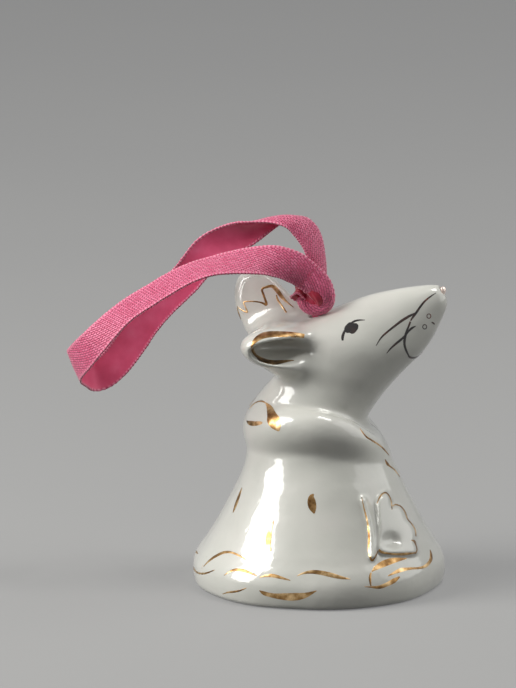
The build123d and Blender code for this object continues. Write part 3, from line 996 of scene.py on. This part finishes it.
far_side_marks = [
    "hand_upper", "hand_lower", "shoulder_arc", "shoulder_flame", "shoulder_dash", "skirt_lens",
    "skirt_leaf_left", "skirt_leaf_low", *("hem_%d" % k for k in range(2, 11)),
]
ring_marks = {"dot_upper": (428.9, 316.1, 2.0), "dot_lower": (424.7, 326.8, 2.0)}


def lay_on_glaze(px, py, mirrored):
    """Where a pixel's ray meets the glaze, and the glaze's way out there."""
    origin, direction = camera_place.copy(), ray_of(px, py)
    if mirrored:
        origin[1], direction[1] = -origin[1], -direction[1]
    start = origin + direction * (camera_distance - 80)
    place, normal, _, _ = porcelain_tree.ray_cast(Vector(start), Vector(direction))
    if place is None:
        middle = origin + direction * camera_distance
        place, normal, _, _ = porcelain_tree.find_nearest(Vector(middle))
    return np.array(place), np.array(normal)


mark_step = 0.55  # pixels between the rows of a mark
mark_lift = 0.035
mark_columns = (-1.0, -0.6, 0.0, 0.6, 1.0)
mark_gap = 1.2  # a larger face would bridge an edge of the form


def mark_rows(rows):
    """A smooth picture line with its ways across and widths."""
    line = rounded_line(rows, 8)
    lengths = lengths_along(line[:, :2])
    count = max(4, int(lengths[-1] / mark_step))
    places = np.linspace(0, lengths[-1], count)
    even = rows_at(places, lengths, line)
    along = unit(np.gradient(even[:, :2], axis=0))
    across = np.stack((-along[:, 1], along[:, 0]), 1)
    return even, across


def make_mark(name, rows, finish, mirrored=False):
    """A thin skin of fired colour that follows the glaze."""
    even, across = mark_rows(rows)
    vertices, faces = [], []
    for (px, py, width), way in zip(even, across):
        for share in mark_columns:
            spot = np.array((px, py)) + way * share * width / 2
            place, normal = lay_on_glaze(spot[0], spot[1], mirrored)
            lift = mark_lift * (1.0 if abs(share) < 1 else 0.25)
            vertices.append(place + normal * lift)
    vertices = np.array(vertices)
    columns = len(mark_columns)
    for row in range(len(even) - 1):
        for column in range(columns - 1):
            face = [row * columns + column, (row + 1) * columns + column,
                    (row + 1) * columns + column + 1, row * columns + column + 1]
            corners = vertices[face]
            if np.linalg.norm(corners - corners.mean(0), axis=1).max() < mark_gap:
                faces.append(face if mirrored else face[::-1])
    made = new_object(name, vertices, faces, "bell")
    made.data.materials.append(finish)
    return made


def nodes_of(material):
    """A material's node tree and its shader."""
    material.use_nodes = True
    tree = material.node_tree
    return tree, tree.nodes["Principled BSDF"]


def set_inputs(node, values):
    """Constants on a node's sockets."""
    for socket, value in values.items():
        node.inputs[socket].default_value = value


def noise_node(tree, scale, detail=3.0, roughness=0.5):
    """Noise in object space, so that it stays on the piece."""
    place = tree.nodes.new("ShaderNodeTexCoord")
    noise = tree.nodes.new("ShaderNodeTexNoise")
    set_inputs(noise, {"Scale": scale, "Detail": detail, "Roughness": roughness})
    tree.links.new(place.outputs["Object"], noise.inputs["Vector"])
    return noise


def ramp_node(tree, source, stops):
    """Colours laid out along a value."""
    ramp = tree.nodes.new("ShaderNodeValToRGB")
    for stop, (position, colour) in zip(ramp.color_ramp.elements, (stops[0], stops[-1])):
        stop.position, stop.color = position, (*colour, 1)
    for position, colour in stops[1:-1]:
        stop = ramp.color_ramp.elements.new(position)
        stop.color = (*colour, 1)
    tree.links.new(source, ramp.inputs["Fac"])
    return ramp


def bump_node(tree, shader, height, strength, distance):
    """Small relief from a value."""
    bump = tree.nodes.new("ShaderNodeBump")
    set_inputs(bump, {"Strength": strength, "Distance": distance})
    tree.links.new(height, bump.inputs["Height"])
    tree.links.new(bump.outputs["Normal"], shader.inputs["Normal"])
    return bump


def noise_finish(name, scale, detail, stops, settings, bump=None):
    """A material whose colour follows noise, with constants on its shader and perhaps relief."""
    material = bpy.data.materials.new(name)
    tree, shader = nodes_of(material)
    noise = noise_node(tree, scale, detail)
    ramp = ramp_node(tree, noise.outputs["Fac"], stops)
    tree.links.new(ramp.outputs["Color"], shader.inputs["Base Color"])
    set_inputs(shader, settings)
    if bump:
        bump_node(tree, shader, noise.outputs["Fac"], *bump)
    return material


def glaze_finish():
    """White porcelain under a clear glaze, with a faint green in it and slow waves."""
    material = noise_finish("glaze", 90.0, 2.0, [
        (0.30, (0.66, 0.665, 0.62)), (0.55, (0.70, 0.70, 0.655)), (0.75, (0.73, 0.72, 0.68)),
    ], {
        "Roughness": 0.32, "IOR": 1.5, "Coat Weight": 1.0, "Coat Roughness": 0.03,
        "Coat IOR": 1.52,
    })
    tree, shader = nodes_of(material)
    waves = noise_node(tree, 130.0, 3.0, 0.45)
    bump = bump_node(tree, shader, waves.outputs["Fac"], 1.0, 0.00028)
    tree.links.new(bump.outputs["Normal"], shader.inputs["Coat Normal"])
    return material


def along_ribbon(tree):
    """Places along and across the ribbon in millimetres."""
    grid = tree.nodes.new("ShaderNodeUVMap")
    grid.uv_map = "weave"
    return grid.outputs["UV"]


def selvedge_finish():
    """The pale cord-like edges of the ribbon, with a stitch at every turn of the weft."""
    material = bpy.data.materials.new("pink_selvedge")
    tree, shader = nodes_of(material)
    wave = tree.nodes.new("ShaderNodeTexWave")
    wave.wave_type, wave.bands_direction = "BANDS", "X"
    set_inputs(wave, {"Scale": 0.42, "Distortion": 0.6})
    tree.links.new(along_ribbon(tree), wave.inputs["Vector"])
    ramp = ramp_node(tree, wave.outputs["Fac"], [
        (0.10, (0.68, 0.095, 0.21)), (0.55, (0.84, 0.20, 0.35)), (0.90, (0.90, 0.30, 0.44)),
    ])
    tree.links.new(ramp.outputs["Color"], shader.inputs["Base Color"])
    set_inputs(shader, {"Roughness": 0.55, "Sheen Weight": 0.4})
    bump_node(tree, shader, wave.outputs["Fac"], 0.6, 0.0001)
    return material


def weave_finish():
    """The outer face, a fine weave in rows that lie aslant across the ribbon."""
    material = bpy.data.materials.new("pink_weave")
    tree, shader = nodes_of(material)
    turn = tree.nodes.new("ShaderNodeMapping")
    turn.inputs["Rotation"].default_value = (0, 0, radians(24))
    tree.links.new(along_ribbon(tree), turn.inputs["Vector"])
    brick = tree.nodes.new("ShaderNodeTexBrick")
    set_inputs(brick, {
        "Scale": 1.0, "Brick Width": 0.90, "Row Height": 0.50,
        "Mortar Size": 0.11, "Mortar Smooth": 1.0, "Bias": 0.0,
        "Color1": (0.76, 0.10, 0.235, 1), "Color2": (0.92, 0.205, 0.38, 1),
        "Mortar": (0.50, 0.035, 0.12, 1),
    })
    tree.links.new(turn.outputs["Vector"], brick.inputs["Vector"])
    tree.links.new(brick.outputs["Color"], shader.inputs["Base Color"])
    set_inputs(shader, {"Roughness": 0.5, "Sheen Weight": 0.3})
    bump = bump_node(tree, shader, brick.outputs["Fac"], 1.0, 0.00013)
    bump.invert = True
    return material


enamel = {"Roughness": 0.3, "Coat Weight": 0.8, "Coat Roughness": 0.05}
cloth = {"Roughness": 0.38, "Sheen Weight": 0.25, "Sheen Roughness": 0.4, "Anisotropic": 0.5}
glaze = glaze_finish()
# Fired gold, thin and brown in places
gold = noise_finish("fired_gold", 420.0, 4.0, [
    (0.34, (0.15, 0.075, 0.028)), (0.50, (0.40, 0.235, 0.095)), (0.66, (0.82, 0.58, 0.31)),
], {"Metallic": 1.0, "Roughness": 0.36}, (0.25, 0.00004))
# Black enamel that burns to red brown where it is thin, and thick enough to stay black
dark = noise_finish("dark_enamel", 380.0, 3.0, [
    (0.40, (0.012, 0.009, 0.009)), (0.56, (0.05, 0.018, 0.012)), (0.68, (0.20, 0.05, 0.025)),
], enamel)
black = noise_finish("black_enamel", 380.0, 3.0, [
    (0.45, (0.010, 0.008, 0.008)), (0.80, (0.040, 0.018, 0.014)),
], enamel)
# The smooth inner face of the ribbon, and a deeper red copy of it that is painted shade in the
# knot's core and folds
satin = noise_finish("pink_satin", 260.0, 3.0, [
    (0.30, (0.78, 0.085, 0.20)), (0.55, (0.88, 0.12, 0.26)), (0.78, (0.94, 0.17, 0.33)),
], cloth, (0.2, 0.0001))
# the darker copy is painted shade: the same satin, darkened where the knot's folds lie in shadow
deep = noise_finish("painted_shade_satin", 260.0, 3.0, [
    (0.30, (0.36, 0.010, 0.035)), (0.55, (0.52, 0.022, 0.065)), (0.78, (0.66, 0.05, 0.12)),
], cloth, (0.2, 0.0001))
selvedge = selvedge_finish()
weave = weave_finish()
# Plain brass of the ring and the wire
brass = noise_finish("brass_wire", 500.0, 3.0, [
    (0.35, (0.55, 0.36, 0.15)), (0.65, (0.78, 0.56, 0.27)),
], {"Metallic": 1.0, "Roughness": 0.3}, (0.2, 0.00003))
# Pale pink lustre of the nose
lustre = noise_finish("nose_lustre", 700.0, 3.0, [
    (0.35, (0.82, 0.64, 0.56)), (0.65, (0.97, 0.86, 0.80)),
], {"Metallic": 0.75, "Roughness": 0.34}, (0.2, 0.00003))

make_ribbon()
make_knot()
make_tail()
porcelain = make_porcelain()
porcelain.data.materials.append(glaze)
porcelain_tree = BVHTree.FromPolygons(
    [tuple(v.co * 1000) for v in porcelain.data.vertices],
    [tuple(p.vertices) for p in porcelain.data.polygons],
)
for node, finish in (
    ("nose_bead", lustre), ("clapper_ring", brass), ("clapper_wire", brass),
    ("clapper_ball", glaze),
):
    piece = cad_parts[node]
    piece.data.materials.clear()
    piece.data.materials.append(finish)

for name, rows in gold_marks.items():
    make_mark("gold_" + name, rows, gold)
for name, rows in dark_marks.items():
    for side, mirrored in (("", False), ("_far", True)):
        finish = black if name.startswith("eye") else dark
        make_mark("dark_" + name + side, rows, finish, mirrored)
for name in far_side_marks:
    make_mark("gold_" + name + "_far", gold_marks[name], gold, True)
for name, (px, py, size) in ring_marks.items():
    ring = [
        (px + size * cos(pi * k / 4), py + size * 1.1 * sin(pi * k / 4), 0.9) for k in range(9)
    ]
    make_mark("dark_" + name, ring, dark)
    make_mark("dark_" + name + "_far", ring, dark, True)


def camera_mix(tree, seen, other):
    """A colour for the camera and for reflections, with a darker one for light that bounces."""
    rays = tree.nodes.new("ShaderNodeLightPath")
    mix = tree.nodes.new("ShaderNodeMix")
    mix.data_type = "RGBA"
    mix.inputs[6].default_value = (*other, 1)
    if isinstance(seen, tuple):
        mix.inputs[7].default_value = (*seen, 1)
    else:
        tree.links.new(seen, mix.inputs[7])
    seen_rays = rays.outputs["Is Camera Ray"]
    for kind in ("Is Glossy Ray", "Is Transmission Ray"):
        either = tree.nodes.new("ShaderNodeMath")
        either.operation = "MAXIMUM"
        tree.links.new(seen_rays, either.inputs[0])
        tree.links.new(rays.outputs[kind], either.inputs[1])
        seen_rays = either.outputs[0]
    tree.links.new(seen_rays, mix.inputs[0])
    return mix.outputs[2]


def make_floor():
    """A plain pale floor that glows a little to the camera, so that it is even all over."""
    material = bpy.data.materials.new("floor")
    tree, shader = nodes_of(material)
    noise = noise_node(tree, 6.0)
    ramp = ramp_node(tree, noise.outputs["Fac"], [
        (0.3, (0.20, 0.20, 0.20)), (0.7, (0.21, 0.21, 0.208)),
    ])
    colour = camera_mix(tree, ramp.outputs["Color"], (0.07, 0.07, 0.07))
    tree.links.new(colour, shader.inputs["Base Color"])
    glow = camera_mix(tree, (0.19, 0.19, 0.191), (0.0, 0.0, 0.0))
    tree.links.new(glow, shader.inputs["Emission Color"])
    set_inputs(shader, {"Emission Strength": 1.0, "Roughness": 0.8, "Specular IOR Level": 0.2})
    size = 6000.0
    corners = [(-size, -size, 0), (size, -size, 0), (size, size, 0), (-size, size, 0)]
    floor = new_object("floor", corners, [(0, 1, 2, 3)], None)
    floor.data.materials.append(material)


def make_light(name, direction, distance, width, height, power, colour):
    """A rectangular soft light that faces the figure from a direction."""
    data = bpy.data.lights.new(name, "AREA")
    data.shape = "RECTANGLE"
    data.size, data.size_y = width * MM, height * MM
    data.energy = power
    data.color = colour
    light = new_in_scene(name, data)
    away = Vector(direction).normalized()
    light.location = (Vector((0, 0, 32)) + away * distance) * MM
    light.rotation_euler = away.to_track_quat("Z", "Y").to_euler()


def make_world():
    """A soft surround, pale to the camera and dim to the glaze."""
    world = bpy.data.worlds.new("surround")
    bpy.context.scene.world = world
    world.use_nodes = True
    tree = world.node_tree
    back = tree.nodes["Background"]
    colour = camera_mix(tree, (0.40, 0.405, 0.41), (0.032, 0.032, 0.030))
    tree.links.new(colour, back.inputs["Color"])
    back.inputs["Strength"].default_value = 1.0


make_floor()
make_world()
make_light("window", (-0.815, -0.186, 0.547), 780, 440, 560, 7.0, (1.0, 0.99, 0.95))
make_light("ceiling", (0.34, -0.10, 0.93), 820, 200, 280, 2.2, (1.0, 0.99, 0.95))
make_light("fill", (-0.45, -0.80, 0.40), 1100, 900, 700, 0.25, (1.0, 1.0, 0.97))
make_light("side", (0.88, 0.02, 0.47), 900, 900, 800, 3.2, (1.0, 1.0, 0.97))
bpy.context.scene.view_settings.view_transform = "Standard"
